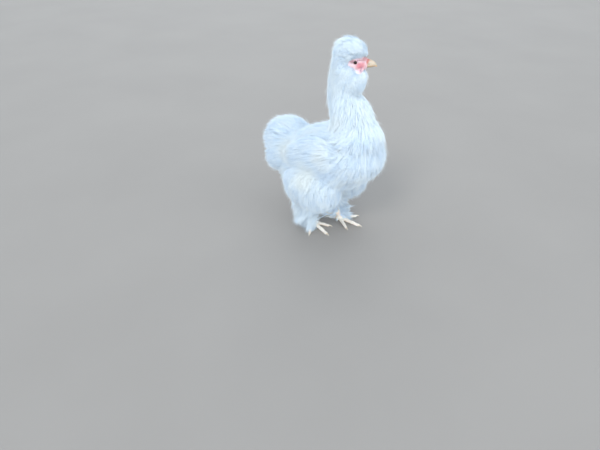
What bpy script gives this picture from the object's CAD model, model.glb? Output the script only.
import math

import bpy
import numpy as np
from mathutils import Matrix, Vector, noise
from mathutils.bvhtree import BVHTree


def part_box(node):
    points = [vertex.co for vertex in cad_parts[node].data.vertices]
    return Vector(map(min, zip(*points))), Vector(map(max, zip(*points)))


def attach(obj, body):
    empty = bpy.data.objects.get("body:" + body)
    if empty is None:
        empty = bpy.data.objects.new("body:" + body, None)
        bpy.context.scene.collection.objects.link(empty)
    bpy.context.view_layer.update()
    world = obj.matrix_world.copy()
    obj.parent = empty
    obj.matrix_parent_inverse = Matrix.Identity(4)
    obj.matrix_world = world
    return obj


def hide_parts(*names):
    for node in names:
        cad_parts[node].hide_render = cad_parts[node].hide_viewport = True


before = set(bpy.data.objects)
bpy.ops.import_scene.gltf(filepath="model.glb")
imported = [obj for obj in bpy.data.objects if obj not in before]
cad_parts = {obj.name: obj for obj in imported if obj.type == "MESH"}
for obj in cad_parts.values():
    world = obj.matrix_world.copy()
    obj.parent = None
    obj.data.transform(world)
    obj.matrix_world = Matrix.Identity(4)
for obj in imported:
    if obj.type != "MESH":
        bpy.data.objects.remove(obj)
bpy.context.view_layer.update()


# The camera. It looks down on the hen from in front of its right shoulder, from above the head.
# All sizes below are in the hen's own frame, and HEN_SHIFT carries that frame to the model's.
HEAD_PLACE = Vector((0.0415, 0.0, 0.321))
HEAD_TURN = Matrix.Rotation(math.radians(33), 3, "Z")
EYE_PLACE = Vector((0.001, 0.0112, 0.004))


def head_point(forward, left, up):
    """A point given from between the eyes, forward along the beak."""
    return HEAD_PLACE + HEAD_TURN @ Vector((forward, left, up))


eye_low, eye_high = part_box("eye_right")
HEN_SHIFT = (eye_low + eye_high) / 2 - head_point(EYE_PLACE.x, -EYE_PLACE.y, EYE_PLACE.z)
HEN_SHIFT.z = 0

CAMERA_PLACE = Vector((0.4316, -0.5958, 0.5330))
CAMERA_TURN = (math.radians(53.5), 0.0, math.radians(40.0))
CAMERA_LENS = 27.06

bpy.ops.object.camera_add(location=CAMERA_PLACE + HEN_SHIFT, rotation=CAMERA_TURN)
camera = bpy.context.object
camera.data.lens = CAMERA_LENS
camera.data.sensor_width = 36.0
camera.data.clip_start = 0.01
bpy.context.scene.camera = camera
bpy.context.scene.view_settings.view_transform = "Standard"


# The floor and the light. A pale smooth floor carries the hen. Four wide soft lamps shine on it, the key
# lamp from high on its right, under an even pale sky.
FLOOR_SIZE = 60.0
FLOOR_COLOR = (0.31, 0.295, 0.28, 1)
FLOOR_BLOTCH = 1.05
SKY_COLOR = (0.82, 0.91, 1.0, 1)
SKY_STRENGTH = 0.95
# Lamp: name, place that it shines from, strength, spread in degrees, tint.
LAMPS = (
    ("key_lamp", (0.20, -1.30, 1.25), 1.05, 18.0, (1.0, 0.99, 0.97)),
    ("fill_lamp", (0.57, -0.80, 0.18), 1.25, 60.0, (1.0, 1.0, 1.0)),
    ("front_lamp", (1.5, -0.2, 0.6), 0.70, 60.0, (1.0, 1.0, 1.0)),
    ("back_lamp", (-0.8, 1.0, 0.8), 0.85, 60.0, (0.96, 0.98, 1.0)),
)


def new_material(name):
    """A material with a Principled shader, and the node tree, links and shader to build on."""
    made = bpy.data.materials.new(name)
    made.use_nodes = True
    tree = made.node_tree
    return made, tree, tree.nodes["Principled BSDF"]


def add_node(tree, kind, **settings):
    """A shader node with its properties set."""
    made = tree.nodes.new(kind)
    for key, value in settings.items():
        setattr(made, key, value)
    return made


def set_inputs(node, values):
    for entry, value in values.items():
        node.inputs[entry].default_value = value


def wire(tree, source, output, target, entry):
    tree.links.new(source.outputs[output], target.inputs[entry])


def color_mix(tree, factor, first, second, blend="MIX"):
    """Two colours mixed by a factor. Each is a colour or a (node, output) pair."""
    made = add_node(tree, "ShaderNodeMix", data_type="RGBA", blend_type=blend)
    for value, entry in ((factor, 0), (first, 6), (second, 7)):
        if isinstance(value, tuple) and isinstance(value[0], bpy.types.Node):
            wire(tree, *value, made, entry)
        else:
            made.inputs[entry].default_value = value
    return made, 2


def noise_of(tree, scale, detail=3.0):
    """Noise on Object coordinates."""
    place = add_node(tree, "ShaderNodeTexCoord")
    made = add_node(tree, "ShaderNodeTexNoise")
    set_inputs(made, {"Scale": scale, "Detail": detail, "Roughness": 0.5})
    wire(tree, place, "Object", made, "Vector")
    return made


def ranged(tree, source, output, low, high, to_low=0.0, to_high=1.0):
    """A value carried from one range to another."""
    made = add_node(tree, "ShaderNodeMapRange")
    wire(tree, source, output, made, "Value")
    set_inputs(made, {"From Min": low, "From Max": high, "To Min": to_low, "To Max": to_high})
    return made, 0


def floor_material():
    made, tree, shader = new_material("pale_floor")
    blotch = ranged(tree, noise_of(tree, 3.0, 6.0), "Fac", 0.35, 0.65)
    lighter = tuple(value * FLOOR_BLOTCH for value in FLOOR_COLOR[:3]) + (1,)
    mixed = color_mix(tree, blotch, FLOOR_COLOR, lighter)
    wire(tree, mixed[0], mixed[1], shader, "Base Color")
    shader.inputs["Roughness"].default_value = 0.75
    return made


bpy.ops.object.select_all(action="DESELECT")
bpy.ops.mesh.primitive_grid_add(x_subdivisions=4, y_subdivisions=4, size=FLOOR_SIZE)
floor = bpy.context.object
floor.name = "floor"
floor.data.materials.append(floor_material())

for name, place, power, spread, tint in LAMPS:
    bpy.ops.object.light_add(type="SUN", location=place)
    lamp = bpy.context.object
    lamp.name = name
    lamp.data.energy = power
    lamp.data.angle = math.radians(spread)
    lamp.data.color = tint
    lamp.rotation_euler = Vector(place).to_track_quat("Z", "Y").to_euler()

sky = bpy.data.worlds.new("pale_sky")
bpy.context.scene.world = sky
sky.use_nodes = True
set_inputs(sky.node_tree.nodes["Background"], {"Color": SKY_COLOR, "Strength": SKY_STRENGTH})


# The body under the plumage: the rounded forms of trunk, neck, tail, wings and thighs, run together
# into one closed skin. The plumage is rooted on it, so it is smaller than the hen by the coat's depth.
SIDES = (("right", -1), ("left", 1))
THIGH_PLACES = {"right": (-0.002, -0.043, 0.106), "left": (0.006, 0.041, 0.098)}
THIGH_HALVES = {"right": (0.0460, 0.0300, 0.0320), "left": (0.040, 0.028, 0.037)}
TRUNK_TURN = Matrix.Rotation(math.radians(-17), 3, "Y")
TAIL_TURN = Matrix.Rotation(math.radians(20), 3, "Y")
CREST_TURN = HEAD_TURN @ Matrix.Rotation(math.radians(8), 3, "Y")
LEVEL = Matrix.Identity(3)
# Form: centre, half sizes, turn, how much thicker its front is (0 if left out) and its squareness, from
# 2 for an egg upward (2 if left out).
EGGS = {
    "torso": ((-0.002, 0.0, 0.147), (0.090, 0.059, 0.050), TRUNK_TURN, 0.12),
    "breast": ((0.0500, 0.0, 0.1665), (0.0445, 0.0490, 0.0375), LEVEL),
    "crop": ((0.0525, 0.0, 0.2000), (0.0380, 0.0400, 0.0290), LEVEL),
    "fluff": ((-0.050, 0.0, 0.114), (0.042, 0.047, 0.036), LEVEL),
    "tail": ((-0.0900, 0.0, 0.1530), (0.0350, 0.0335, 0.0240), TAIL_TURN, 0.0, 2.6),
    "tail_middle": ((-0.0875, 0.0, 0.1430), (0.0350, 0.0365, 0.0280), LEVEL, 0.0, 2.5),
    "under_tail": ((-0.0865, 0.0, 0.1320), (0.0340, 0.0395, 0.0330), LEVEL, 0.0, 2.5),
    "crest": (head_point(-0.0078, 0, 0.0120), (0.0168, 0.0148, 0.0122), CREST_TURN, 0.0, 3.2),
    "forelock": (head_point(0.0085, 0, 0.0110), (0.0095, 0.0125, 0.0060), HEAD_TURN),
    "nape": (head_point(-0.0150, 0, -0.0060), (0.0140, 0.0160, 0.0240), HEAD_TURN),
    "beard": (head_point(0.0038, 0, -0.0190), (0.0130, 0.0160, 0.0180), HEAD_TURN),
    "skull": (head_point(-0.004, 0, 0), (0.0225, 0.0140, 0.0150), HEAD_TURN, -0.06),
}
for side_name, side in SIDES:
    wing_turn = Matrix.Rotation(math.radians(-3 * side), 3, "Z") @ Matrix.Rotation(math.radians(-12), 3, "Y")
    EGGS["wing_" + side_name] = ((0.004, 0.0520 * side, 0.168), (0.054, 0.0125, 0.028), wing_turn, 0.2)
    thigh_turn = Matrix.Rotation(math.radians(-8 * side), 3, "X")
    EGGS["thigh_" + side_name] = (THIGH_PLACES[side_name], THIGH_HALVES[side_name], thigh_turn, 0.0, 2.7)
NECK_PATH = [(0.050, 0, 0.195), (0.0430, 0, 0.232), (0.0250, -0.001, 0.268), (0.0290, -0.0035, 0.306)]
NECK_RADII = [0.038, 0.0285, 0.0188, 0.0175]
BODY_VOXEL = 0.0024


def deselect():
    bpy.ops.object.select_all(action="DESELECT")


def pick(piece):
    """The piece alone selected and active."""
    deselect()
    piece.select_set(True)
    bpy.context.view_layer.objects.active = piece
    return piece


def joined(parts, name):
    """The parts made one object."""
    pick(parts[0])
    for part in parts:
        part.select_set(True)
    if len(parts) > 1:
        bpy.ops.object.join()
    made = bpy.context.object
    made.name = name
    made.data.name = name
    return made


def apply_modifier(piece, kind, **settings):
    """A modifier with the given settings, applied."""
    pick(piece)
    modifier = piece.modifiers.new(kind.lower(), kind)
    for key, value in settings.items():
        setattr(modifier, key, value)
    bpy.ops.object.modifier_apply(modifier=modifier.name)
    return piece


def egg(centre, half, turn, blunt=0.0, square=2.0, segments=40, rings=24):
    """A closed egg, thicker to its front where blunt is above nought, boxier where square is above two."""
    deselect()
    bpy.ops.mesh.primitive_uv_sphere_add(segments=segments, ring_count=rings, radius=1.0)
    made = bpy.context.object
    for vert in made.data.vertices:
        vert.co /= sum(abs(share) ** square for share in vert.co) ** (1 / square)
        vert.co.yz *= 1 + blunt * vert.co.x
    made.matrix_world = Matrix.Translation(centre) @ turn.to_4x4() @ Matrix.Diagonal((*half, 1))
    bpy.ops.object.transform_apply(location=True, rotation=True, scale=True)
    return made


def faced_outward(piece, weld=False):
    """The active piece with its faces turned outward, its doubled points welded first where asked."""
    bpy.ops.object.mode_set(mode="EDIT")
    bpy.ops.mesh.select_all(action="SELECT")
    if weld:
        bpy.ops.mesh.remove_doubles(threshold=0.00001)
    bpy.ops.mesh.normals_make_consistent(inside=False)
    bpy.ops.object.mode_set(mode="OBJECT")
    return piece


def fused(parts, name, voxel, rounds):
    """The parts as one evenly meshed closed skin, softened by rounds of smoothing."""
    made = apply_modifier(joined(parts, name), "REMESH", mode="VOXEL", voxel_size=voxel)
    return apply_modifier(made, "SMOOTH", factor=0.5, iterations=rounds)


def tube(points, radii, round_steps=5, smooth_path=True):
    """A round tube with closed ends along a smooth curve through the points."""
    deselect()
    bpy.ops.curve.primitive_nurbs_path_add()
    path = bpy.context.object
    path.data.splines.clear()
    spline = path.data.splines.new("BEZIER" if smooth_path else "POLY")
    nodes = spline.bezier_points if smooth_path else spline.points
    nodes.add(len(points) - 1)
    for node, point, radius in zip(nodes, points, radii):
        node.co = point if smooth_path else (*point, 1)
        node.radius = radius
        if smooth_path:
            node.handle_left_type = node.handle_right_type = "AUTO"
    path.data.dimensions = "3D"
    path.data.resolution_u = 6
    path.data.bevel_depth = 1.0
    path.data.bevel_resolution = round_steps
    path.data.use_fill_caps = True
    bpy.ops.object.convert(target="MESH")
    return faced_outward(bpy.context.object, weld=True)


# Places on a foot, from the middle of its pad: forward, outward from the hen, up.
PADS = {"right": (-0.016, -0.024, 0.0), "left": (0.016, 0.022, 0.0)}
OUTER_TOE_ROOT = ((-0.004, 0.001, 0.0080), (0.004, 0.007, 0.0045), (0.014, 0.014, 0.0040))
SHANK_TOP = (-0.016, 0.006, 0.060)
SHANK_BOTTOM = (-0.001, 0, 0.0115)
SHANK_IN_THIGH = (0.006, 0.001, 0.016)


def outward(side_name, place):
    x, y, z = place
    return Vector((x, y * dict(SIDES)[side_name], z))


def toe_root(side_name):
    """The root of the outer toe, which is feathered like the shank."""
    return [Vector(PADS[side_name]) + outward(side_name, place) for place in OUTER_TOE_ROOT]


def shank_path(side_name):
    """The shank's middle line, from inside the thigh down to the foot."""
    top, bottom = (Vector(PADS[side_name]) + outward(side_name, place) for place in (SHANK_TOP, SHANK_BOTTOM))
    return [top + outward(side_name, SHANK_IN_THIGH), top, top.lerp(bottom, 0.5), bottom]


SHANK_RADII = [0.0066, 0.0062, 0.0048, 0.0058]
TOE_ROOT_RADII = [0.0044, 0.0036, 0.0032]

body_parts = [egg(*EGGS[name]) for name in EGGS]
body_parts.append(tube(NECK_PATH, NECK_RADII))
body_parts += [tube(shank_path(name), SHANK_RADII) for name, _ in SIDES]
body_parts += [tube(toe_root(name), TOE_ROOT_RADII) for name, _ in SIDES]
body = fused(body_parts, "body", BODY_VOXEL, 12)


# The lie of the plumage over that body: which way each feather points, how deep the coat is there and
# how long its strands are. All are kept at the body's points, and evened out from form to form.
def array_of(values):
    return np.array(values, dtype=np.float64)


def unit(vectors):
    return vectors / np.maximum(np.linalg.norm(vectors, axis=-1, keepdims=True), 1e-9)


def point_array(mesh, layer="co"):
    values = np.empty(len(mesh.vertices) * 3)
    mesh.vertices.foreach_get(layer, values)
    return values.reshape(-1, 3)


def limited(values):
    """Values held between nought and one."""
    return np.clip(values, 0, 1)


def inside(values, edge, soft):
    """1 well inside an edge, falling to 0 at it over the given breadth."""
    return limited((edge - values) / soft)


def in_head(points):
    """Points seen from between the eyes: forward along the beak, left and up."""
    return (points - array_of(HEAD_PLACE)) @ array_of(HEAD_TURN)


def near_foot(points):
    """How near the foot a place on the leg is, from 0 at the thigh to 1 at the foot."""
    return inside(points[:, 2:3], 0.050, 0.035)


def egg_distance(points, centre, half, turn, blunt=0.0, square=2.0):
    """About how far each point is from the egg's surface."""
    local = (points - array_of(centre)) @ array_of(turn) / array_of(half)
    local[:, 1:] /= (1 + blunt * np.clip(local[:, :1], -1, 1))
    return ((np.abs(local) ** square).sum(axis=1) ** (1 / square) - 1) * min(half)


def line_distance(points, path, radii):
    """How far each point is from the surface of a tube."""
    best = np.full(len(points), 1.0)
    for start, end, first, last in zip(path, path[1:], radii, radii[1:]):
        start, along = array_of(start), array_of(end) - array_of(start)
        t = limited((points - start) @ along / (along @ along))
        gap = np.linalg.norm(points - start - t[:, None] * along, axis=1) - (first + (last - first) * t)
        best = np.minimum(best, gap)
    return best


def toward(x, y, z):
    return lambda points: np.tile(array_of((x, y, z)), (len(points), 1))


def away_from(place):
    return lambda points: points - array_of(place)


def trunk_lie(points):
    """Backward over the saddle, turning down over the breast."""
    t = limited((points[:, :1] - 0.015) / 0.06)
    return array_of((-1, 0, -0.22)) * (1 - t) + array_of((-0.30, 0, -1)) * t


def head_lie(forward, left, up):
    return toward(*(HEAD_TURN @ Vector((forward, left, up))))


def crest_lie(points):
    """Up from the brow, back over the top and down at the back, spreading a little to the sides."""
    local = (points - array_of(EGGS["crest"][0])) @ array_of(HEAD_TURN) / array_of(EGGS["crest"][1])
    rising = np.clip(1.2 * local[:, 0] + 0.75, -1, 1)
    lie = np.stack((-np.full(len(points), 0.45), 0.25 * local[:, 1], 1.2 * rising), axis=1)
    return lie @ array_of(HEAD_TURN).T


FACE_MIDDLE = (0.0095, 0, 0.0010)


def face_lie(points):
    """Outward from the bare skin, and back and down."""
    local = unit(in_head(points) - array_of(FACE_MIDDLE))
    return (local * (1, 0, 1) + array_of((-0.5, 0, -0.2))) @ array_of(HEAD_TURN).T


def shank_lie(side):
    """Down the shank, flaring out over the foot."""
    def lie(points):
        low = near_foot(points)
        return array_of((-0.50, 0.55 * side, -1.0)) * (1 - low) + array_of((-0.75, 0.80 * side, -0.15)) * low
    return lie


def tail_lie(points):
    """Backward off the saddle, fanning out a little and falling over the rear."""
    local = points - (array_of(EGGS["tail"][0]) + array_of(EGGS["under_tail"][0])) / 2
    return np.stack((-np.ones(len(points)), 6 * local[:, 1], 6 * local[:, 2] - 0.30), axis=1)


# Region: lie, coat depth, strand length, rise of the root, droop.
DEPTH, LENGTH, RISE, DROOP = range(4)
COAT = {
    "torso": (trunk_lie, 0.0135, 0.034, 0.50, 0.12),
    "breast": (trunk_lie, 0.0140, 0.034, 0.50, 0.08),
    "crop": (trunk_lie, 0.0110, 0.034, 0.45, 0.08),
    "fluff": (toward(-0.8, 0, -0.75), 0.0140, 0.030, 0.60, 0.20),
    "neck": (toward(-0.12, 0, -1), 0.0100, 0.032, 0.35, 0.20),
    "nape": (head_lie(-0.45, 0, -1), 0.0080, 0.024, 0.45, 0.25),
    "crest": (crest_lie, 0.0115, 0.022, 2.20, 0.05),
    "forelock": (crest_lie, 0.0050, 0.013, 1.20, 0.00),
    "skull": (head_lie(-1, 0, -0.1), 0.0055, 0.012, 0.30, 0.10),
    "beard": (head_lie(-0.05, 0, -1), 0.0065, 0.023, 0.35, 0.50),
    "face": (face_lie, 0.0042, 0.0090, 0.35, 0.05),
    **dict.fromkeys(("tail", "tail_middle", "under_tail"), (tail_lie, 0.0150, 0.034, 0.85, 0.12)),
}
for side_name, side in SIDES:
    x, y, z = THIGH_PLACES[side_name]
    COAT["wing_" + side_name] = (toward(-1, 0, -0.32), 0.0080, 0.032, 0.45, 0.25)
    COAT["thigh_" + side_name] = (away_from((x + 0.004, y * 0.5, z + 0.060)), 0.0125, 0.030, 0.60, 0.22)
    COAT["toe_" + side_name] = (toward(-0.1, 0.9 * side, -0.3), 0.0080, 0.028, 0.80, 0.20)
    COAT["shank_" + side_name] = (shank_lie(side), 0.0215, 0.042, 1.20, 0.25)
REGIONS = list(COAT)

# The bare face reaches from the root of the beak to behind the eye, and short feathers edge it.
# Patch: how far ahead of the eyes and above them, half its length, half its height.
FACE_PATCHES = ((0.0085, 0.0028, 0.0155, 0.0066), (0.0095, -0.0025, 0.0076, 0.0080))
FACE_EDGE = 1.45


def spot_reach(local, ahead, level, long, high):
    """How far out from the middle of a spot on the side of the head a place is, with 1 at its edge."""
    return np.hypot((local[:, 0] - ahead) / long, (local[:, 2] - level) / high)


def face_reach(local):
    """How far out from the bare face a place is: under 1 on the red skin, above it in the feathers."""
    return np.min([spot_reach(local, *patch) for patch in FACE_PATCHES], axis=0)


def bare_face(local, edge):
    """How bare the face is there: 1 on the red skin round the eye, down to 0 in the feathers."""
    return inside(face_reach(local), edge, 0.35)


body_points = point_array(body.data)
body_normals = point_array(body.data, "normal")
head_local = in_head(body_points)
gaps = {name: egg_distance(body_points, *EGGS[name]) for name in EGGS}
gaps["neck"] = line_distance(body_points, NECK_PATH, NECK_RADII)
gaps["face"] = np.where((face_reach(head_local) < FACE_EDGE) & (head_local[:, 0] > -0.02), 0.0, 1.0)
for side_name, _ in SIDES:
    gaps["shank_" + side_name] = line_distance(body_points, shank_path(side_name), SHANK_RADII)
    gaps["toe_" + side_name] = line_distance(body_points, toe_root(side_name), TOE_ROOT_RADII)
region_at = np.argmin(np.abs(np.stack([gaps[name] for name in REGIONS])), axis=0)
lie_at = np.empty_like(body_points)
numbers_at = np.empty((len(body_points), 4))
for index, name in enumerate(REGIONS):
    here = region_at == index
    lie_at[here] = unit(COAT[name][0](body_points[here]))
    numbers_at[here] = COAT[name][1:]
# The crest is fullest round its shoulders, and lies thin and flat where it turns under.
CREST_SHOULDERS = 0.32
on_crest = region_at == REGIONS.index("crest")
crest_up = limited(body_normals[on_crest, 2]) ** 2
numbers_at[on_crest, DEPTH] *= 1 + CREST_SHOULDERS * (1 - np.abs(2 * crest_up - 1))
numbers_at[on_crest, DEPTH] *= 0.62 + 0.38 * limited(body_normals[on_crest, 2] / 0.5)
numbers_at[on_crest, RISE] *= 0.15 + 0.85 * crest_up
# The feathers of the legs stand out behind and outside, and leave the front of the foot clear. Near the
# foot they are deeper and longer, and droop less.
FOOT_DEPTH, FOOT_LENGTH, FOOT_DROOP = 0.60, 0.30, 0.60
for side_name, side in SIDES:
    on_shank = region_at == REGIONS.index("shank_" + side_name)
    behind = body_normals[on_shank] @ array_of((-0.66, 0.75 * side, 0.0))
    low = near_foot(body_points[on_shank])[:, 0]
    numbers_at[on_shank, DEPTH] *= (0.55 + 0.65 * limited(0.5 + 0.7 * behind)) * (1 + FOOT_DEPTH * low)
    numbers_at[on_shank, LENGTH] *= 1 + FOOT_LENGTH * low
    numbers_at[on_shank, DROOP] *= 1 - FOOT_DROOP * low

body_edges = np.empty(len(body.data.edges) * 2, dtype=np.int64)
body.data.edges.foreach_get("vertices", body_edges)
body_edges = body_edges.reshape(-1, 2)


def evened(values, rounds):
    """Values at the body's points, averaged with their neighbours' again and again."""
    both = np.concatenate((body_edges, body_edges[:, ::-1]))
    count = np.bincount(both[:, 0], minlength=len(values))[:, None] + 1.0
    for _ in range(rounds):
        total = values.copy()
        for axis in range(values.shape[1]):
            total[:, axis] += np.bincount(both[:, 0], weights=values[both[:, 1], axis], minlength=len(values))
        values = total / count
    return values


LIE_ROUNDS = 9
LOCK_WAVES = 38.0
SWIRL = 0.35
BILLOW = 0.20
lie_at = evened(lie_at, LIE_ROUNDS)
numbers_at = evened(numbers_at, LIE_ROUNDS + 3)
billow = array_of([(noise.noise(p * LOCK_WAVES), noise.noise(p * LOCK_WAVES + Vector((9, 4, 7))))
                   for p in map(Vector, body_points.tolist())])
lie_at += np.cross(lie_at, body_normals) * (SWIRL * billow[:, :1])
numbers_at[:, DEPTH] *= 1 + BILLOW * billow[:, 1]
lie_at = unit(lie_at - body_normals * np.sum(lie_at * body_normals, axis=1, keepdims=True))

# Round the bare face the coat is thin and short, and over the eye the brow stands out a little.
EDGE_THINNER, EDGE_SHORTER = 0.65, 0.60
BROW_HEIGHT, BROW_DEPTH = 0.0115, 0.0030
bare_at = bare_face(head_local, 1.2)
head_ahead, head_side, head_up = head_local[:, 0], np.abs(head_local[:, 1]), head_local[:, 2]
edge_at = inside(face_reach(head_local), 2.2, 1.1) * (head_ahead > -0.03)
edge_at *= (region_at != REGIONS.index("face")) * np.where(head_up > 0.007, 0.25, 1.0)
numbers_at[:, DEPTH] *= 1 - EDGE_THINNER * edge_at
numbers_at[:, LENGTH] *= 1 - EDGE_SHORTER * edge_at
on_brow = limited(1.2 - np.abs(head_up - BROW_HEIGHT) / 0.0035) * (head_ahead > -0.012)
numbers_at[:, DEPTH] += BROW_DEPTH * on_brow * (head_side > 0.006) * (head_side < 0.03)

body.data.calc_loop_triangles()
body_triangles = np.empty(len(body.data.loop_triangles) * 3, dtype=np.int64)
body.data.loop_triangles.foreach_get("vertices", body_triangles)
body_triangles = body_triangles.reshape(-1, 3)
body_tree = BVHTree.FromPolygons([tuple(p) for p in body_points], [tuple(t) for t in body_triangles])


def at_triangles(values):
    return values[body_triangles].mean(axis=1)


TRIANGLE_NORMAL = unit(at_triangles(body_normals))
TRIANGLE_LIE = unit(at_triangles(lie_at))
TRIANGLE_NUMBERS = at_triangles(numbers_at)
corner = body_points[body_triangles]
TRIANGLE_AREA = np.linalg.norm(np.cross(corner[:, 1] - corner[:, 0], corner[:, 2] - corner[:, 0]), axis=1) / 2
TRIANGLE_REGION = region_at[body_triangles[:, 0]]
TRIANGLE_BARE = at_triangles(bare_at[:, None])[:, 0]


# The plumage. A silkie's feathers have no webbed vane, so they hang as soft locks of separate silky
# strands. Each tuft is a few thin closed strands from one root, and neighbouring tufts draw together.
PATH_STEPS = 5
STRAND_RINGS = (0.0, 0.5, 1.0)
LONG_STRAND_RINGS = (0.0, 0.34, 0.68, 1.0)
RING_CORNERS = np.radians((90.0, 210.0, 330.0))
STRAND_FLATNESS = 0.42
ROOT_SINK = 0.0012
PATCH = 0.003
FLOOR_GAP = 0.0004
LIE_PULL = 0.45
FALL = 0.6
# Shares of a tuft's full length and width, from least to most, and how its strands end.
STRAND_REACH = (0.62, 1.0)
STRAND_WIDTHS = (0.75, 1.2)
STRAY_SPREAD = 2.6
TIP_THINNING = 0.72
TONE_SPREAD = 0.12
GUIDE_LENGTHS = (0.85, 1.15)
TUFT_LENGTHS = (0.75, 1.15)
WISP_LONGER = 0.4
GUIDE_TONE_SHARE = 0.65
OWN_TONE_SHARE = 0.35
DOWN = array_of((0, 0, -1))


def pick_roots(count, regions, rng):
    """Triangles of the body drawn by their area, in the given regions and off the bare face."""
    wanted = np.isin(TRIANGLE_REGION, [REGIONS.index(name) for name in regions])
    weight = TRIANGLE_AREA * wanted * (TRIANGLE_BARE < 0.35)
    steps = (np.arange(count) + rng.random(count)) / count * weight.sum()
    picked = np.searchsorted(np.cumsum(weight), steps).clip(0, len(weight) - 1)
    mix = rng.dirichlet((1, 1, 1), count)
    place = np.einsum("tc,tcx->tx", mix, corner[picked])
    return picked, place


def march(picked, place, rng, lengths, spec):
    """The path of each tuft: it leaves the skin, lies over the coat's depth and droops at its end."""
    numbers = TRIANGLE_NUMBERS[picked]
    normal = TRIANGLE_NORMAL[picked]
    lie = TRIANGLE_LIE[picked]
    side = np.cross(lie, normal)
    lie = unit(lie + side * (rng.normal(0, spec["fan"], len(place)))[:, None])
    heading = unit(lie + normal * numbers[:, RISE, None])
    step = (lengths / PATH_STEPS)[:, None]
    spot = place - normal * ROOT_SINK
    path = [spot]
    ups = [normal]
    lift = rng.uniform(*spec["lift"], len(place))
    free = spec["free"] * rng.random(len(place)) ** 1.5
    for k in range(1, PATH_STEPS + 1):
        t = k / PATH_STEPS
        spot = spot + heading * step
        found = [body_tree.find_nearest(p) for p in spot.tolist()]
        near = array_of([hit[0] for hit in found])
        index = np.array([hit[2] for hit in found])
        normal = TRIANGLE_NORMAL[index]
        height = np.sum((spot - near) * normal, axis=1)
        under = limited(-(normal[:, 2] + 0.1) / 0.5)
        cling = 1 - under * np.clip(TRIANGLE_NUMBERS[index, DROOP] * 1.5, 0, 0.95)
        cling *= 1 - free * t
        aim = TRIANGLE_NUMBERS[index, DEPTH] * lift * (0.3 + 0.7 * t ** 0.7)
        low = np.maximum(aim * 0.75 - height, 0)
        high = np.minimum(aim * 1.1 - height, 0) * cling
        spot = spot + normal * (low + high)[:, None]
        follow = LIE_PULL * cling[:, None]
        heading = unit(heading * (1 - follow) + TRIANGLE_LIE[index] * follow
                       + DOWN * (TRIANGLE_NUMBERS[index, DROOP, None] * t * FALL))
        path.append(spot)
        ups.append(normal)
    return np.stack(path, axis=1), np.stack(ups, axis=1)


def strands_mesh(name, paths, ups, tone, centre, spec, rng):
    """The tufts as one mesh of thin closed strands, with the place of each root on its unwrap."""
    tufts, per = len(paths), spec["strands"]
    reach = rng.uniform(*STRAND_REACH, (tufts, per))
    stray = rng.random((tufts, per)) < spec["stray"]
    ring = array_of(spec["rings"])
    t = reach[:, :, None] * ring
    low = np.clip((t * PATH_STEPS).astype(int), 0, PATH_STEPS - 1)
    part = (t * PATH_STEPS - low)[..., None]
    rows = np.arange(tufts)[:, None, None]
    spine = paths[rows, low] * (1 - part) + paths[rows, low + 1] * part
    up = unit(ups[rows, low] * (1 - part) + ups[rows, low + 1] * part)
    along = unit(np.gradient(spine, axis=2))
    side = unit(np.cross(along, up))
    up = np.cross(side, along)
    angle = rng.uniform(0, 2 * np.pi, (tufts, per, 1))
    radius = np.sqrt(rng.random((tufts, per, 1))) * spec["spread"]
    close = 1 - spec["close"] * ring ** 0.8
    close = np.where(stray[:, :, None], 1 + STRAY_SPREAD * ring, close)
    wave_phase = rng.uniform(0, 2 * np.pi, (tufts, 1, 1)) + rng.normal(0, 0.5, (tufts, per, 1))
    wave = spec["wave"] * np.sin(wave_phase + ring * spec["turns"] * 2 * np.pi) * ring
    lift = spec["wave"] * 0.6 * np.cos(wave_phase * 1.7 + ring * spec["turns"] * 2 * np.pi) * ring
    spine = spine + side * (np.cos(angle) * radius * close + wave)[..., None]
    spine = spine + up * (np.sin(angle) * radius * close * 0.8 + lift)[..., None]
    thin = spec["width"] / 2 * (1 - TIP_THINNING * ring ** 1.5)
    thin = thin * rng.uniform(*STRAND_WIDTHS, (tufts, per, 1))
    rings = ring.size - 1
    spokes = (np.cos(RING_CORNERS)[:, None, None, None, None] * side
              + np.sin(RING_CORNERS)[:, None, None, None, None] * up * STRAND_FLATNESS)
    body_rings = spine[None] + spokes * thin[..., None]
    body_rings = np.moveaxis(body_rings, 0, 3)[:, :, :rings]
    tips = spine[:, :, rings]
    per_strand = rings * 3 + 1
    points = np.concatenate((body_rings.reshape(tufts, per, rings * 3, 3), tips[:, :, None]), axis=2)
    points[..., 2] = np.maximum(points[..., 2], FLOOR_GAP)
    faces = [(0, 2, 1)]
    for r in range(rings - 1):
        for c in range(3):
            a, b = r * 3 + c, r * 3 + (c + 1) % 3
            faces += [(a, b, b + 3), (a, b + 3, a + 3)]
    last = (rings - 1) * 3
    faces += [(last + c, last + (c + 1) % 3, per_strand - 1) for c in range(3)]
    count = tufts * per
    faces = (np.array(faces)[None] + (np.arange(count) * per_strand)[:, None, None]).reshape(-1, 3)
    ring_share = np.append(np.repeat(ring[:rings], 3), 1.0)
    tone = limited(tone[:, None] + rng.normal(0, TONE_SPREAD, (tufts, per)))
    root = unit(paths[:, 0] - centre)
    unwrap = np.stack((np.arctan2(root[:, 1], root[:, 0]) / (2 * np.pi) + 0.5, root[:, 2] / 2 + 0.5), axis=1)
    unwrap = unwrap[:, None, None] * (1 - PATCH)
    patch = np.stack((np.append(np.tile((0.0, 0.5, 1.0), rings), 0.5), ring_share), axis=1) * PATCH
    uv = np.broadcast_to(unwrap + patch, (tufts, per, per_strand, 2)).reshape(-1, 2)
    return mesh_of(name, points.reshape(-1, 3), faces,
                   {"tone": np.repeat(tone.reshape(-1), per_strand), "along": np.tile(ring_share, count)}, uv)


def set_values(mesh, values):
    """Named values kept at the points of a mesh."""
    for key, value in values.items():
        mesh.attributes.new(key, "FLOAT", "POINT").data.foreach_set("value", value.astype(np.float32))


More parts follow.
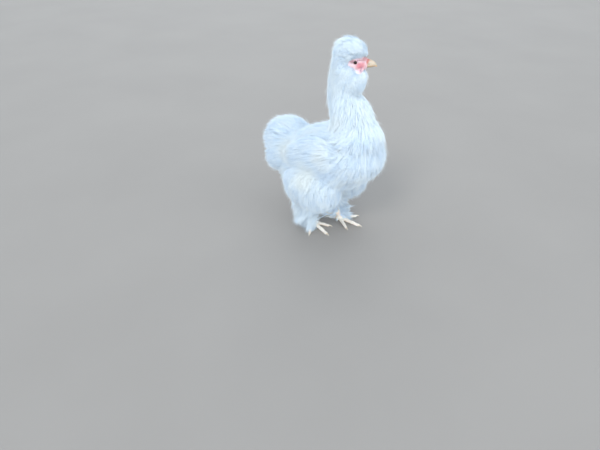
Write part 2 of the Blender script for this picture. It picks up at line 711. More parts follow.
def shown(mesh):
    """An object of the mesh, in the scene."""
    made = bpy.data.objects.new(mesh.name, mesh)
    bpy.context.scene.collection.objects.link(made)
    return made


def mesh_of(name, points, faces, values, uv):
    """A mesh object of triangles with values at its points and a UV map."""
    mesh = bpy.data.meshes.new(name)
    mesh.vertices.add(len(points))
    mesh.vertices.foreach_set("co", points.astype(np.float32).ravel())
    mesh.loops.add(len(faces) * 3)
    mesh.loops.foreach_set("vertex_index", faces.astype(np.int32).ravel())
    mesh.polygons.add(len(faces))
    mesh.polygons.foreach_set("loop_start", np.arange(0, len(faces) * 3, 3, dtype=np.int32))
    layer = mesh.uv_layers.new(name="OFBake")
    layer.data.foreach_set("uv", uv[faces.ravel()].astype(np.float32).ravel())
    set_values(mesh, values)
    mesh.update(calc_edges=True)
    mesh.polygons.foreach_set("use_smooth", np.zeros(len(faces), dtype=bool))
    return shown(mesh)


PLUMAGE_ROOT = (0.66, 0.79, 0.92, 1)
PLUMAGE_TIP = (0.83, 0.925, 0.985, 1)
PLUMAGE_CREAM = (0.88, 0.93, 0.92, 1)
# Where sun and age have turned the plumage creamy: middle, reach, strength.
CREAM_PLACES = (((0.004, -0.078, 0.134), 0.032, 0.7), ((-0.060, -0.052, 0.160), 0.034, 0.6),
                ((-0.006, 0.078, 0.134), 0.026, 0.7), ((0.030, -0.062, 0.175), 0.024, 0.5))


def plumage_material():
    """Blue-white silky down: greyer at the roots, white at the tips, with uneven locks."""
    made, tree, shader = new_material("silky_plumage")
    along = add_node(tree, "ShaderNodeAttribute", attribute_name="along")
    tone = add_node(tree, "ShaderNodeAttribute", attribute_name="tone")
    lock = color_mix(tree, ranged(tree, tone, "Fac", 0.15, 0.75), PLUMAGE_ROOT, PLUMAGE_TIP)
    grown = color_mix(tree, ranged(tree, along, "Fac", 0.0, 0.45), PLUMAGE_ROOT, lock)
    patchy = ranged(tree, noise_of(tree, 26.0, 2.0), "Fac", 0.50, 0.72, 0.0, 0.35)
    tinted = color_mix(tree, patchy, grown, PLUMAGE_CREAM)
    coords = add_node(tree, "ShaderNodeTexCoord")
    for middle, reach, share in CREAM_PLACES:
        away = add_node(tree, "ShaderNodeVectorMath", operation="DISTANCE")
        wire(tree, coords, "Object", away, 0)
        away.inputs[1].default_value = Vector(middle) + HEN_SHIFT
        spot = ranged(tree, away, "Value", 0.4 * reach, reach, share, 0.0)
        tinted = color_mix(tree, spot, tinted, PLUMAGE_CREAM)
    wire(tree, tinted[0], tinted[1], shader, "Base Color")
    rough = ranged(tree, tone, "Fac", 0.0, 1.0, 0.85, 0.70)
    wire(tree, rough[0], rough[1], shader, "Roughness")
    set_inputs(shader, {"Sheen Weight": 0.35, "Sheen Roughness": 0.4, "Specular IOR Level": 0.2})
    return made


PLUMAGE = plumage_material()
# A tuft: how many strands from one root, how far apart they stand and how much they close, their width,
# waves and rings, the share that strays, and how they fan, lift and come free of the coat. Then: how far
# apart the guide tufts are, how strongly tufts draw to them, the share of long wisps, and the tone added.
BODY_STRANDS = {"strands": 6, "spread": 0.0024, "close": 0.40, "width": 0.00085, "wave": 0.0009, "turns": 1.1,
                "rings": STRAND_RINGS, "stray": 0.14, "fan": 0.20, "lift": (0.88, 1.18), "free": 1.0,
                "guides": 0.008, "clump": 0.50, "wisps": 0.10, "pale": 0.0}


def grow_plumage(name, regions, tufts, seed, **changes):
    """One piece of plumage, in tufts that lean to the nearest guide tuft as they go out."""
    spec = dict(BODY_STRANDS, **changes)
    rng = np.random.default_rng(seed)
    picked, place = pick_roots(tufts, regions, rng)
    area = (TRIANGLE_AREA * np.isin(TRIANGLE_REGION, [REGIONS.index(r) for r in regions])).sum()
    guide_count = max(8, int(area / spec["guides"] ** 2))
    guide_picked, guide_place = pick_roots(guide_count, regions, rng)
    guide_length = TRIANGLE_NUMBERS[guide_picked, LENGTH] * rng.uniform(*GUIDE_LENGTHS, guide_count)
    guide_paths, _ = march(guide_picked, guide_place, rng, guide_length, spec)
    guide_tone = rng.random(guide_count)
    lengths = TRIANGLE_NUMBERS[picked, LENGTH] * rng.uniform(*TUFT_LENGTHS, tufts)
    lengths *= 1 + WISP_LONGER * (rng.random(tufts) < spec["wisps"])
    paths, ups = march(picked, place, rng, lengths, spec)
    gap = np.linalg.norm(place[:, None] - guide_place[None], axis=2)
    nearest = np.argmin(gap, axis=1)
    t = np.linspace(0, 1, PATH_STEPS + 1)[None, :, None]
    pull = spec["clump"] * t ** 1.2
    offset = (paths[:, :1] - guide_paths[nearest][:, :1]) * 0.4
    paths = paths * (1 - pull) + (guide_paths[nearest] + offset) * pull
    tone = GUIDE_TONE_SHARE * guide_tone[nearest] + OWN_TONE_SHARE * rng.random(tufts) + spec["pale"]
    centre = place.mean(axis=0)
    piece = strands_mesh(name, paths, ups, tone, centre, spec, rng)
    piece.data.materials.append(PLUMAGE)
    return piece


def settle(piece, slot, *nodes):
    """The piece carried to the model's frame, in its slot and riding on the body."""
    piece.data.transform(Matrix.Translation(HEN_SHIFT))
    piece.data.update()
    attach(piece, "root")
    if nodes:
        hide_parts(*nodes)
    return piece


FINE = {"width": 0.0008, "spread": 0.0019, "guides": 0.0058, "wave": 0.0008, "clump": 0.60}
LONG = {"rings": LONG_STRAND_RINGS, "pale": -0.12}
COMBED = {"wave": 0.0007, "clump": 0.3}
DOWNY = {"strands": 3, "width": 0.00036, "spread": 0.0008, "guides": 0.0030, "wave": 0.0003}
# Piece: name, regions, tufts, seed, how its tufts differ.
PLUMAGE_PIECES = (
    ("crest_plumage", ("crest", "forelock"), 1800, 1,
     dict(FINE, width=0.0009, wave=0.0010, stray=0.26, lift=(0.68, 1.48), clump=0.75, pale=0.15)),
    ("nape_plumage", ("nape", "skull"), 1400, 2, dict(FINE, pale=0.30)),
    ("beard_plumage", ("beard",), 1200, 3, dict(FINE, pale=0.25)),
    ("face_plumage", ("face",), 1000, 15, DOWNY),
    ("neck_plumage", ("neck",), 1700, 4,
     dict(FINE, rings=LONG_STRAND_RINGS, width=0.00085, spread=0.0021, lift=(0.85, 1.12), clump=0.2,
          wave=0.0005, pale=0.25)),
    ("breast_plumage", ("breast", "crop"), 2000, 5, dict(LONG, clump=0.4, pale=0.0)),
    ("trunk_plumage", ("torso",), 2100, 6, {}),
    ("fluff_plumage", ("fluff",), 1050, 7, {}),
    ("tail_plumage", ("tail", "tail_middle", "under_tail"), 2500, 8,
     dict(COMBED, clump=0.45, stray=0.20, lift=(0.82, 1.24), pale=-0.1)),
    ("wing_right_plumage", ("wing_right",), 1100, 9, LONG),
    ("wing_left_plumage", ("wing_left",), 1100, 10, LONG),
    ("thigh_right_plumage", ("thigh_right",), 2100, 11, COMBED),
    ("thigh_left_plumage", ("thigh_left",), 1500, 12, COMBED),
    ("shank_right_plumage", ("shank_right", "toe_right"), 760, 13, {}),
    ("shank_left_plumage", ("shank_left", "toe_left"), 520, 14, {}),
)
PLUMAGE_NODES = {"crest_plumage": ("crest",), "beard_plumage": ("beard",)}
for name, regions, tufts, seed, changes in PLUMAGE_PIECES:
    piece = grow_plumage(name, regions, tufts, seed, **changes)
    settle(piece, "plumage", *PLUMAGE_NODES.get(name, ()))


# The head's skin: a fine skull that narrows to the beak, with lids round the eyes, the small comb in
# front of the crest, wattles and ear lobes. The feet have knuckled toes. All of it is one skin with the body.
HEAD_VOXEL = 0.0005
FOOT_VOXEL = 0.0007
EYE_RADIUS = 0.0038
FOOT_TURNS = {"right": math.radians(-14), "left": math.radians(6)}
PAD_HALF = (0.0085, 0.0078, 0.0070)
# Toe: length, turn from the middle toe inward, radius at the root, height of the root.
TOES = {
    1: (0.021, math.radians(162), 0.0031, 0.0),
    2: (0.034, math.radians(36), 0.0037, 0.0),
    3: (0.045, 0.0, 0.0041, 0.0),
    4: (0.036, math.radians(-46), 0.0037, 0.0),
    5: (0.021, math.radians(128), 0.0029, 0.0125),
}
# The face in front of the skull: how far ahead, radius, height.
FACE_SECTIONS = ((0.002, 0.0126, -0.0005), (0.009, 0.0108, -0.0015),
                 (0.015, 0.0084, -0.0030), (0.0195, 0.0060, -0.0042))
# The fleshy parts of the head's side: place, the steps from one fold, row or bead to the next, half sizes.
LOBE_PLACE = (-0.0030, 0.0128, -0.0074)
LOBE_HALF = (0.0026, 0.0017, 0.0036)
WATTLE_PLACE = (0.0128, 0.0076, -0.0080)
WATTLE_STEP = (-0.0022, 0.0010, -0.0008)
WATTLE_HALF = (0.0022, 0.0016, 0.0040)
WATTLE_SHORTER = 0.0005
COMB_PLACE = (0.0175, 0.0014, 0.0055)
COMB_ROW = (-0.0030, 0.0006, 0.0022)
COMB_BEAD = (-0.0008, 0.0020, -0.0010)
COMB_HALF = (0.0022, 0.0017, 0.0022)


def head_egg(place, half, side, segments=24, rings=14):
    """An egg on one side of the head."""
    x, y, z = place
    return egg(head_point(x, y * side, z), half, HEAD_TURN, segments=segments, rings=rings)


def stepped(place, step, times):
    return [start + share * times for start, share in zip(place, step)]


# Ring of the lids: turn from the eye's pole fore and aft, turn above and below, thickness.
LID_RINGS = ((52, 46, 0.0009), (74, 70, 0.0012))


def eye_lid(side, turn_long, turn_high, thickness):
    """A soft ring of the lids over the eye, drawn out fore and aft into the corners."""
    rim, radii = [], []
    for step in range(25):
        angle = 2 * math.pi * step / 24
        along = math.radians(turn_long) * math.cos(angle)
        over = math.radians(turn_high) * math.sin(angle)
        turned = math.hypot(along, over)
        reach = EYE_RADIUS * 1.12 * math.sin(turned)
        rim.append(head_point(EYE_PLACE.x + reach * along / turned,
                              (EYE_PLACE.y + EYE_RADIUS * 1.12 * math.cos(turned)) * side,
                              EYE_PLACE.z + reach * over / turned))
        radii.append(thickness)
    return tube(rim, radii, 3, False)


# Fold of the face: reach from the eye's middle, first and last angle round it, thickness.
FACE_FOLDS = ((0.0062, 200, 330, 0.0007), (0.0082, 225, 325, 0.0008),
              (0.0060, 20, 150, 0.0007), (0.0102, 245, 310, 0.0008))


def face_fold(side, reach, first, last, thickness):
    """A low wrinkle of skin part of the way round the eye."""
    line, radii = [], []
    for step in range(9):
        t = step / 8
        angle = math.radians(first + (last - first) * t)
        ahead = EYE_PLACE.x + math.cos(angle) * reach
        level = EYE_PLACE.z + math.sin(angle) * reach * 0.9
        bow = math.sqrt(max(0.05, 1 - ((ahead + 0.004) / 0.027) ** 2 - (level / 0.0165) ** 2))
        line.append(head_point(ahead, (0.0143 * bow) * side, level))
        radii.append(thickness * (0.35 + 0.65 * math.sin(math.pi * t)))
    return tube(line, radii, 3)


def foot_point(side_name, forward, inward, height):
    """A point in a foot's own frame: forward along its middle toe, inward to the other foot."""
    turn = Matrix.Rotation(FOOT_TURNS[side_name], 3, "Z")
    return Vector(PADS[side_name]) + turn @ Vector((forward, -inward * dict(SIDES)[side_name], height))


def toe_shape(side_name, number, steps=13):
    """A toe's middle line and radii, thicker at each knuckle."""
    length, turn, root, raised = TOES[number]
    line, radii = [], []
    for step in range(steps):
        t = step / (steps - 1)
        radius = root * (1.0 - 0.34 * t + 0.07 * math.cos(t * 6 * math.pi))
        lift = raised + 0.005 * math.sin(math.pi * t * 0.55) if raised else 0.0
        arch = 0.0 if raised else 0.0009 * math.sin(math.pi * t)
        line.append(foot_point(side_name, math.cos(turn) * length * t, math.sin(turn) * length * t,
                               radius - 0.0003 + lift + arch))
        radii.append(radius)
    return line, radii


head_parts = [egg(head_point(-0.004, 0, 0), (0.0230, 0.0145, 0.0155), HEAD_TURN, -0.06, 2.0, 48, 32)]
head_parts.append(tube([head_point(ahead, 0, level) for ahead, _, level in FACE_SECTIONS],
                       [radius for _, radius, _ in FACE_SECTIONS], 8))
head_parts.append(tube(NECK_PATH[2:], [r * 0.98 for r in NECK_RADII[2:]], 8))
for _, side in SIDES:
    head_parts += [eye_lid(side, *ring) for ring in LID_RINGS]
    head_parts += [face_fold(side, *fold) for fold in FACE_FOLDS]
    head_parts.append(head_egg(LOBE_PLACE, LOBE_HALF, side))
    for fold in range(3):
        half = (*WATTLE_HALF[:2], WATTLE_HALF[2] - WATTLE_SHORTER * fold)
        head_parts.append(head_egg(stepped(WATTLE_PLACE, WATTLE_STEP, fold), half, side))
    for row in range(3):
        for bead in range(2):
            place = stepped(stepped(COMB_PLACE, COMB_ROW, row), COMB_BEAD, bead)
            head_parts.append(head_egg(place, COMB_HALF, side, 14, 8))
head = fused(head_parts, "head_skin", HEAD_VOXEL, 3)

foot_parts = []
for side_name, _ in SIDES:
    foot_parts.append(egg(Vector(PADS[side_name]) + Vector((0, 0, PAD_HALF[2] - 0.0004)), PAD_HALF,
                          Matrix.Rotation(FOOT_TURNS[side_name], 3, "Z")))
    foot_parts.append(tube(shank_path(side_name), SHANK_RADII, 6))
    foot_parts += [tube(*toe_shape(side_name, number), 4) for number in TOES]
feet = fused(foot_parts, "feet_skin", FOOT_VOXEL, 3)


def combine(piece, other, operation):
    """The other shape joined to the piece or cut from it."""
    apply_modifier(piece, "BOOLEAN", operation=operation, solver="MANIFOLD", object=other)
    bpy.data.objects.remove(other)


def set_points(piece, points):
    piece.data.vertices.foreach_set("co", points.astype(np.float32).ravel())


def kept_off_floor(piece):
    """The points of a piece, with the lowest raised just clear of the floor."""
    points = point_array(piece.data)
    points[:, 2] = np.maximum(points[:, 2], SOLE_GAP)
    set_points(piece, points)
    return points


def smooth(piece):
    pick(piece)
    bpy.ops.object.shade_smooth()


EYE_GAP = 0.0001
SOLE_GAP = 0.0002
skin = body
skin.name = "skin"
for part in (head, feet):
    combine(skin, part, "UNION")
for _, side in SIDES:
    combine(skin, head_egg(EYE_PLACE, (EYE_RADIUS + EYE_GAP,) * 3, side, 40, 28), "DIFFERENCE")
smooth(skin)

# Colours of the head's side, as masks on the skin: a flush on the cheek, the dark rim and rear corner of
# the eye, a crease over it, the comb, the wattles, the ear lobes and one purple streak.
# Spot: how far ahead of the eyes and above them, half its length and half its height.
FLUSH_SPOT = (0.0095, -0.0015, 0.0065, 0.0050)
CORNER_SPOT = (-0.0032, 0.0042, 0.0030, 0.0015)
STREAK_AHEAD = 0.0106
STREAK_SPOT = (-0.0072, 0.0011, 0.0040)
LOBE_MIDDLE = (0.0030, 0.0140, 0.0078)
WATTLE_MIDDLE = (0.0118, -0.0155)
CREASE_HEIGHT = 0.0068
skin_points = kept_off_floor(skin)
local = in_head(skin_points)
ahead, side_on, up = local[:, 0], np.abs(local[:, 1]), local[:, 2]
near_head = (ahead > -0.02) & (side_on < 0.03) & (np.abs(up) < 0.03)
in_comb = limited((up - 0.0035) / 0.002) * limited((ahead - 0.0105) / 0.002)
lobe_gap = np.linalg.norm((np.abs(local) - array_of(LOBE_MIDDLE)) * (1, 0.5, 0.8), axis=1)
in_lobe = inside(lobe_gap, 0.0042, 0.0012) * (ahead < 0) * (up < 0)
in_wattle = inside(np.hypot(ahead - WATTLE_MIDDLE[0], up - WATTLE_MIDDLE[1]), 0.0062, 0.003)
eye_gap = np.linalg.norm(np.stack((ahead, side_on, up), axis=1) - array_of(EYE_PLACE), axis=1)
in_corner = limited(1.6 - spot_reach(local, *CORNER_SPOT))
in_rim = np.maximum(inside(eye_gap, 0.0046, 0.0004), 0.6 * in_corner)
in_rim *= (ahead > -0.008) * limited((side_on - 0.0105) / 0.0006)
in_flush = limited(1.6 - spot_reach(local, *FLUSH_SPOT))
crease_line = CREASE_HEIGHT - 0.0015 * limited((ahead - 0.006) / 0.012)
in_crease = limited(1.4 - np.abs(up - crease_line) / 0.0010) * (ahead > -0.0060)
in_crease *= 0.65 + 0.35 * np.sin(ahead * 1900)
streak_line = STREAK_AHEAD + 0.0009 * np.sin(up * 900)
in_streak = limited(1.5 - spot_reach(local, streak_line, *STREAK_SPOT))
in_streak *= np.clip(0.75 - 40 * (up - STREAK_SPOT[0]), 0.25, 1)
in_leg = inside(skin_points[:, 2], 0.052, 0.008)
bare_skin = np.maximum(bare_face(local, 1.6), np.maximum(in_comb, in_wattle))
masks = {"bare": bare_skin, "comb": in_comb, "flush": in_flush, "crease": in_crease, "slate": in_streak,
         "lobe": in_lobe, "rim": in_rim}
set_values(skin.data, dict({key: value * near_head for key, value in masks.items()}, leg=in_leg))

SKIN_DOWN = (0.80, 0.87, 0.95, 1)
SKIN_PALE = (0.82, 0.71, 0.75, 1)
SKIN_PINK = (0.78, 0.53, 0.58, 1)
SKIN_FACE = (0.74, 0.34, 0.38, 1)
SKIN_FLUSH = (0.66, 0.19, 0.24, 1)
SKIN_CREASE = (0.42, 0.14, 0.19, 1)
SKIN_SLATE = (0.36, 0.22, 0.30, 1)
SKIN_COMB = (0.66, 0.36, 0.38, 1)
SKIN_LOBE = (0.47, 0.42, 0.52, 1)
SKIN_RIM = (0.20, 0.045, 0.055, 1)
SKIN_LEG = (0.92, 0.88, 0.81, 1)
SKIN_LEG_WARM = (0.84, 0.72, 0.60, 1)


def grain_group():
    """Fine mottling of skin, horn and scale: from one noise, a colour, a roughness and a height."""
    made = bpy.data.node_groups.new("fine_grain", "ShaderNodeTree")
    for entry, kind in (("Scale", "Float"), ("Stretch", "Vector"), ("Pale", "Color"), ("Deep", "Color"),
                        ("Smoothest", "Float"), ("Roughest", "Float")):
        made.interface.new_socket(entry, in_out="INPUT", socket_type="NodeSocket" + kind)
    for output, kind in (("Color", "Color"), ("Roughness", "Float"), ("Height", "Float")):
        made.interface.new_socket(output, in_out="OUTPUT", socket_type="NodeSocket" + kind)
    given = add_node(made, "NodeGroupInput")
    place = add_node(made, "ShaderNodeTexCoord")
    mapping = add_node(made, "ShaderNodeMapping")
    wire(made, place, "Object", mapping, "Vector")
    wire(made, given, "Stretch", mapping, "Scale")
    grain = add_node(made, "ShaderNodeTexNoise")
    grain.inputs["Detail"].default_value = 3.0
    wire(made, mapping, "Vector", grain, "Vector")
    wire(made, given, "Scale", grain, "Scale")
    share = ranged(made, grain, "Fac", 0.37, 0.68)
    shade = color_mix(made, share, (given, "Pale"), (given, "Deep"))
    rough = ranged(made, grain, "Fac", 0.30, 0.70)
    for end, entry in (("Smoothest", "To Min"), ("Roughest", "To Max")):
        wire(made, given, end, rough[0], entry)
    out = add_node(made, "NodeGroupOutput")
    wire(made, shade[0], shade[1], out, "Color")
    wire(made, rough[0], rough[1], out, "Roughness")
    wire(made, grain, "Fac", out, "Height")
    return made


FINE_GRAIN = grain_group()


def grain_of(tree, scale, pale, deep, smoothest, roughest, stretch=(1.0, 1.0, 1.0)):
    """The grain placed in a material with its own values."""
    made = add_node(tree, "ShaderNodeGroup", node_tree=FINE_GRAIN)
    set_inputs(made, {"Scale": scale, "Stretch": stretch, "Pale": pale, "Deep": deep,
                      "Smoothest": smoothest, "Roughest": roughest})
    return made


def grain_relief(tree, shader, source, output, strength, distance):
    """A bump from a height, on the shader's normal."""
    bump = add_node(tree, "ShaderNodeBump")
    set_inputs(bump, {"Strength": strength, "Distance": distance})
    wire(tree, source, output, bump, "Height")
    wire(tree, bump, "Normal", shader, "Normal")
    return bump


def skin_material():
    """White under the plumage, flushed pink on the bare face, plum at the comb, cream on the feet."""
    made, tree, shader = new_material("hen_skin")
    part = {key: add_node(tree, "ShaderNodeAttribute", attribute_name=key)
            for key in ("bare", "flush", "crease", "comb", "slate", "lobe", "rim", "leg")}
    blush = grain_of(tree, 190.0, SKIN_FACE, SKIN_FLUSH, 0.42, 0.60)
    mottle = grain_of(tree, 240.0, SKIN_LEG, SKIN_LEG_WARM, 0.40, 0.60)
    pale = grain_of(tree, 260.0, SKIN_PALE, SKIN_PINK, 0.42, 0.60)
    face = color_mix(tree, (part["flush"], "Fac"), (pale, "Color"), (blush, "Color"))
    over_face = {"crease": SKIN_CREASE, "slate": SKIN_SLATE, "comb": SKIN_COMB, "rim": SKIN_RIM}
    for key, color in over_face.items():
        face = color_mix(tree, (part[key], "Fac"), face, color)
    shade = color_mix(tree, (part["bare"], "Fac"), SKIN_DOWN, face)
    shade = color_mix(tree, (part["lobe"], "Fac"), shade, SKIN_LOBE)
    shade = color_mix(tree, (part["leg"], "Fac"), shade, (mottle, "Color"))
    wire(tree, shade[0], shade[1], shader, "Base Color")
    wire(tree, blush, "Roughness", shader, "Roughness")
    bumps = add_node(tree, "ShaderNodeTexVoronoi", feature="SMOOTH_F1")
    bumps.inputs["Scale"].default_value = 1100.0
    place = add_node(tree, "ShaderNodeTexCoord")
    wire(tree, place, "Object", bumps, "Vector")
    grain_relief(tree, shader, bumps, "Distance", 0.45, 0.0003).invert = True
    set_inputs(shader, {"Subsurface Weight": 0.12, "Subsurface Scale": 0.002})
    return made


skin.data.materials.clear()
skin.data.materials.append(skin_material())
FLESH = ["head", "comb", "neck", "torso", "tail"]
for part_name in ("wattle", "ear_lobe", "wing", "thigh", "shank", "foot"):
    FLESH += [part_name + "_right", part_name + "_left"]
settle(skin, "skin", *FLESH)


# The beak: two ivory horn halves that meet at an ochre mouth line, the upper one longer and hooked,
# with a nostril pit under a raised flap on each side near its root.
BEAK_BASE = 0.0140
BEAK_TIP = 0.0352
MOUTH_HEIGHT = -0.0034
NOSTRIL_HALF = (0.0015, 0.0011, 0.0006)
BEAK_PALE = (0.60, 0.52, 0.41, 1)
BEAK_DEEP = (0.51, 0.41, 0.29, 1)
BEAK_MOUTH = (0.60, 0.34, 0.12, 1)
BEAK_ROOT = (0.52, 0.17, 0.15, 1)


def solid_of(name, points, faces):
    """A closed object of the given faces."""
    mesh = bpy.data.meshes.new(name)
    mesh.from_pydata(points, [], faces)
    return faced_outward(pick(shown(mesh)))


def beak_half(name, upper):
    """A half of the beak, drawn forward ring by ring from a half-round root."""
    tall, wide, reach = (0.0102, 0.0066, BEAK_TIP) if upper else (0.0034, 0.0056, BEAK_TIP - 0.0042)
    up = 1 if upper else -1
    sides, steps = 18, 12
    points = []
    for step in range(steps):
        t = step / (steps - 1)
        slim = (1 - t ** 2) ** 0.62
        narrow = (1 - t ** 1.6) ** 0.80
        forward = BEAK_BASE + (reach - BEAK_BASE) * t
        hook = 0.0019 * max(0.0, (forward - reach + 0.0055) / 0.0055) ** 1.6 if upper else 0.0
        seam = MOUTH_HEIGHT - 0.0002 * t ** 2 + up * 0.00012
        for corner_step in range(sides):
            angle = 2 * math.pi * corner_step / sides
            height = math.sin(angle)
            height = height * (tall * slim + 0.0003) if height > 0 else height * 0.0004
            if upper:
                height -= hook
            points.append(head_point(forward, math.cos(angle) * (wide * narrow + 0.0002), seam + up * height))
    faces = []
    for step in range(steps - 1):
        for c in range(sides):
            a, b = step * sides + c, step * sides + (c + 1) % sides
            faces.append((a, b, b + sides, a + sides))
    faces.append(tuple(range(sides)))
    faces.append(tuple(range((steps - 1) * sides, steps * sides)))
    made = apply_modifier(solid_of(name, points, faces), "SUBSURF", levels=2, render_levels=2)
    smooth(made)
    return made


def beak_material():
    """Ivory horn, pink and brown at its root and ochre along the mouth."""
    made, tree, shader = new_material("beak_horn")
    root = add_node(tree, "ShaderNodeAttribute", attribute_name="root")
    mouth = add_node(tree, "ShaderNodeAttribute", attribute_name="mouth")
    streak = grain_of(tree, 260.0, BEAK_PALE, BEAK_DEEP, 0.34, 0.48, (0.35, 0.35, 1.0))
    horn = color_mix(tree, (mouth, "Fac"), (streak, "Color"), BEAK_MOUTH)
    horn = color_mix(tree, (root, "Fac"), horn, BEAK_ROOT)
    wire(tree, horn[0], horn[1], shader, "Base Color")
    wire(tree, streak, "Roughness", shader, "Roughness")
    grain_relief(tree, shader, streak, "Height", 0.25, 0.0002)
    set_inputs(shader, {"Subsurface Weight": 0.1, "Subsurface Scale": 0.002})
    return made


BEAK_HORN = beak_material()
for name, upper in (("beak_upper_horn", True), ("beak_lower_horn", False)):
    half = beak_half(name, upper)
    if upper:
        for _, side in SIDES:
            pit_turn = HEAD_TURN @ Matrix.Rotation(math.radians(28), 3, "Y")
            pit = egg(head_point(BEAK_BASE + 0.0078, 0.0046 * side, MOUTH_HEIGHT + 0.0036),
                      NOSTRIL_HALF, pit_turn, segments=24, rings=14)
            combine(half, pit, "DIFFERENCE")
    beak_local = in_head(point_array(half.data))
    root_edge = BEAK_BASE + 0.0055 + 0.5 * (beak_local[:, 2] - MOUTH_HEIGHT)
    root_share = inside(beak_local[:, 0], root_edge, 0.003)
    mouth_share = limited(1 - np.abs(beak_local[:, 2] - MOUTH_HEIGHT) / 0.0009)
    set_values(half.data, {"root": root_share, "mouth": mouth_share})
    half.data.materials.clear()
    half.data.materials.append(BEAK_HORN)
    settle(half, "horn", "beak_upper" if upper else "beak_lower")


# The eyes: glass-smooth balls set in the lids, with a wide black pupil in a dark brown iris under a
# slightly raised clear front.
# From the pupil's middle out to the white: turn from the pole, as a share, and colour there.
EYE_STOPS = ((0.0, (0.002, 0.002, 0.003, 1)), (0.50, (0.003, 0.002, 0.003, 1)),
             (0.56, (0.075, 0.026, 0.012, 1)), (0.80, (0.045, 0.015, 0.009, 1)),
             (0.90, (0.010, 0.006, 0.007, 1)), (1.0, (0.16, 0.10, 0.10, 1)))
IRIS_FIBRE = (0.012, 0.006, 0.005, 1)


def eye_material():
    made, tree, shader = new_material("dark_eye")
    turn = add_node(tree, "ShaderNodeAttribute", attribute_name="turn")
    ramp = add_node(tree, "ShaderNodeValToRGB")
    for index, (place, color) in enumerate(EYE_STOPS):
        stop = ramp.color_ramp.elements[index] if index < 2 else ramp.color_ramp.elements.new(place)
        stop.position = place
        stop.color = color
    wire(tree, turn, "Fac", ramp, "Fac")
    share = ranged(tree, noise_of(tree, 1800.0), "Fac", 0.3, 0.7, 0.0, 0.5)
    wire(tree, *color_mix(tree, share, (ramp, "Color"), IRIS_FIBRE), shader, "Base Color")
    set_inputs(shader, {"Roughness": 0.08, "Specular IOR Level": 0.3, "Coat Weight": 0.6,
                        "Coat Roughness": 0.02})
    return made


EYE_SKIN = eye_material()
for side_name, side in SIDES:
    eyeball = egg((0, 0, 0), (EYE_RADIUS,) * 3, LEVEL, segments=48, rings=32)
    ball = point_array(eyeball.data)
    turned = np.arccos(np.clip(ball[:, 2] / EYE_RADIUS, -1, 1))
    bulge = 1 + 0.05 * limited(1 - (turned / 0.75) ** 2)
    set_points(eyeball, ball * bulge[:, None])
    set_values(eyeball.data, {"turn": limited(turned / 1.05)})
    out = HEAD_TURN @ Matrix.Rotation(math.radians(-90 * side), 3, "X")
    eye_middle = head_point(EYE_PLACE.x, EYE_PLACE.y * side, EYE_PLACE.z)
    eyeball.data.transform(Matrix.Translation(eye_middle) @ out.to_4x4())
    eyeball.name = "eyeball_" + side_name
    smooth(eyeball)
    eyeball.data.materials.append(EYE_SKIN)
    settle(eyeball, "eye", "eye_" + side_name)


# The scales of the feet: overlapping arched plates down the front of each shank and along the top of
# every toe, and a curved claw at each toe's end.
def scute(place, ahead, across, radius, length):
    """Points of one arched plate, thick at its front edge."""
    up = ahead.cross(across).normalized()
    points = []
    for share, swell in ((0.0, 0.95), (0.55, 1.035), (1.0, 1.055)):
        for step in range(7):
            angle = math.radians(-66 + 22 * step)
            for shell in (swell, swell - 0.16):
                points.append(place + ahead * length * share
                              + (across * math.sin(angle) + up * math.cos(angle)) * radius * shell)
    return points


def scute_faces():
    faces = []
    for row in range(2):
        for step in range(6):
            a = (row * 7 + step) * 2
            b, c, d = a + 2, a + 14, a + 16
            faces += [(a, b, d, c), (a + 1, c + 1, d + 1, b + 1)]
    for step in range(6):
        a, c = step * 2, 28 + step * 2
        faces += [(a, a + 1, a + 3, a + 2), (c, c + 2, c + 3, c + 1)]
    for row in range(2):
        a, c = row * 14, row * 14 + 12
        faces += [(a, a + 14, a + 15, a + 1), (c, c + 1, c + 15, c + 14)]
    return faces


SCALE_PALE, SCALE_DEEP = (0.94, 0.91, 0.86, 1), (0.84, 0.77, 0.68, 1)
CLAW_PALE, CLAW_DEEP = (0.84, 0.78, 0.67, 1), (0.66, 0.55, 0.42, 1)


def grained_material(name, scale, pale, deep, smoothest, roughest, relief):
    """The grain by itself, with a relief where that isn't nought."""
    made, tree, shader = new_material(name)
    grain = grain_of(tree, scale, pale, deep, smoothest, roughest)
    wire(tree, grain, "Color", shader, "Base Color")
    wire(tree, grain, "Roughness", shader, "Roughness")
    if relief:
        grain_relief(tree, shader, grain, "Height", relief, 0.0002)
    return made


SCUTE_STEP = 0.0026
scute_points, scute_polys = [], []


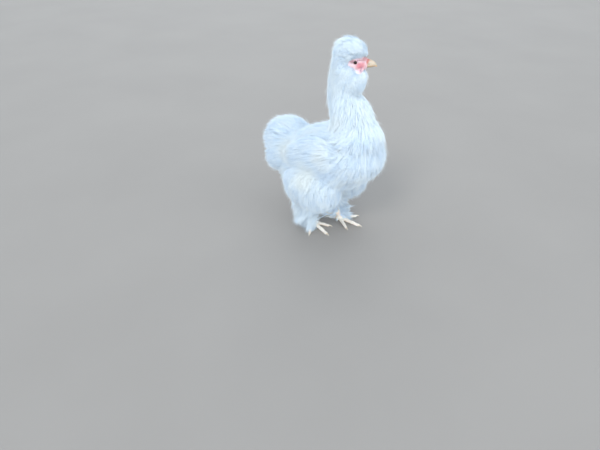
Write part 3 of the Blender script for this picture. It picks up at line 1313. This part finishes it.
def add_scutes(line, radii, floor_up):
    """Plates along a path, each over the root of the next."""
    length = sum((b - a).length for a, b in zip(line, line[1:]))
    count = max(3, int(length / SCUTE_STEP))
    for index in range(count):
        t = index / count * (len(line) - 1)
        low = min(int(t), len(line) - 2)
        place = line[low].lerp(line[low + 1], t - low)
        radius = radii[low] + (radii[low + 1] - radii[low]) * (t - low)
        ahead = (line[low + 1] - line[low]).normalized()
        across = ahead.cross(floor_up).normalized() * -1
        start = len(scute_points)
        scute_points.extend(scute(place, ahead, across, radius, SCUTE_STEP * 1.25))
        scute_polys.extend(tuple(start + k for k in face) for face in scute_faces())


for side_name, side in SIDES:
    for number in TOES:
        line, radii = toe_shape(side_name, number)
        add_scutes(line[2:], radii[2:], Vector((0, 0, 1)))
    shank = shank_path(side_name)
    shank_line = [shank[1].lerp(shank[3], share / 8) for share in range(2, 9)]
    narrowing = SHANK_RADII[2] - SHANK_RADII[1]
    shank_radii = [SHANK_RADII[1] + narrowing * min(1, share / 4) for share in range(2, 9)]
    add_scutes(shank_line, shank_radii, Vector((1, 0, 0)))
leg_scales = solid_of("leg_scales", scute_points, scute_polys)
smooth(leg_scales)
scales = grained_material("leg_scales", 380.0, SCALE_PALE, SCALE_DEEP, 0.38, 0.58, 0.2)
leg_scales.data.materials.append(scales)
settle(leg_scales, "leg")

CLAW_LENGTH = 0.009
CLAW_RADIUS = 0.0017
claws = []
for side_name, side in SIDES:
    for number in TOES:
        line, radii = toe_shape(side_name, number)
        ahead = line[-1] - line[-2]
        flat = Vector((ahead.x, ahead.y, 0)).normalized()
        start = line[-1] - flat * 0.0020
        path, widths = [], []
        for step in range(8):
            t = step / 7
            bend = 0.0030 * t ** 2 if TOES[number][3] else 0.0016 * math.sin(math.pi * t) - 0.0012 * t
            path.append(start + flat * CLAW_LENGTH * t + Vector((0, 0, bend)))
            widths.append((CLAW_RADIUS - 0.0004) * (1 - t) ** 0.75 + 0.0003)
        claws.append(tube(path, widths, 4))
claw_piece = joined(claws, "claws")
smooth(claw_piece)
claw_piece.data.materials.clear()
claw_piece.data.materials.append(grained_material("claw_horn", 500.0, CLAW_PALE, CLAW_DEEP, 0.25, 0.40, 0.0))
kept_off_floor(claw_piece)
settle(claw_piece, "horn", *["claw_%s_%d" % (name, number) for name, _ in SIDES for number in TOES])
